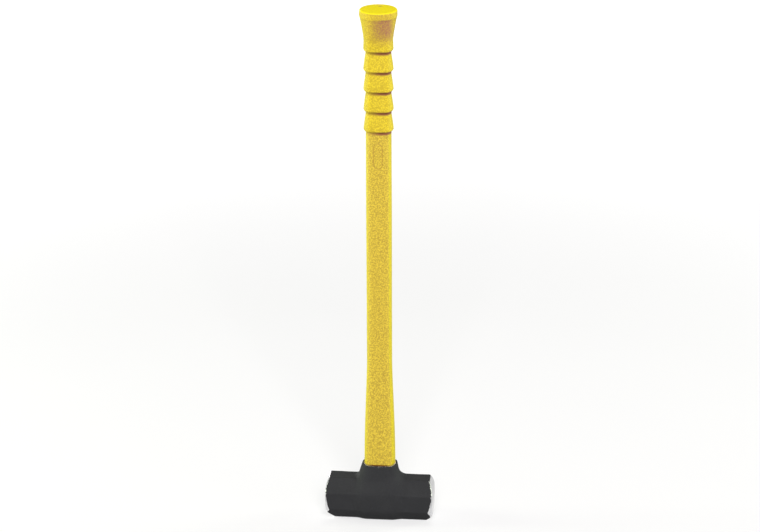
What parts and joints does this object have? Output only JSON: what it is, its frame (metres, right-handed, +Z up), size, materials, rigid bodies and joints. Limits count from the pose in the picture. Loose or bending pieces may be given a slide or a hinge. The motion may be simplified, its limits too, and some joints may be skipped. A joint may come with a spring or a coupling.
{
  "type": "sledgehammer",
  "caption": "Two-faced sledgehammer with an octagonal forged head, a tapered eye collar and a long flattened-round handle with a skirted, flared grip.",
  "frame": {"origin": "centre of the flat land round the bottom of the head's eye, on which the hammer stands", "axes": "+Z up the handle from the head to the pommel, +X along the head towards one striking face, +Y across the head through its cheek"},
  "size_m": [0.188, 0.079, 0.914],
  "materials": {
    "head_steel": "matte charcoal powder coat with bright ground striking faces",
    "fibreglass": "pultruded glass fibre in resin",
    "jacket_polymer": "finely grained matte yellow moulding",
    "epoxy": "cast resin, amber",
    "seal_elastomer": "soft, pale",
    "grip_elastomer": "finely grained matte yellow elastomer"
  },
  "bodies": {
    "root": {"head": "head_steel", "core_rod": "fibreglass", "handle_jacket": "jacket_polymer", "eye_epoxy": "epoxy", "mouth_seal": "seal_elastomer", "grip_sleeve": "grip_elastomer"}
  },
  "joints": []
}
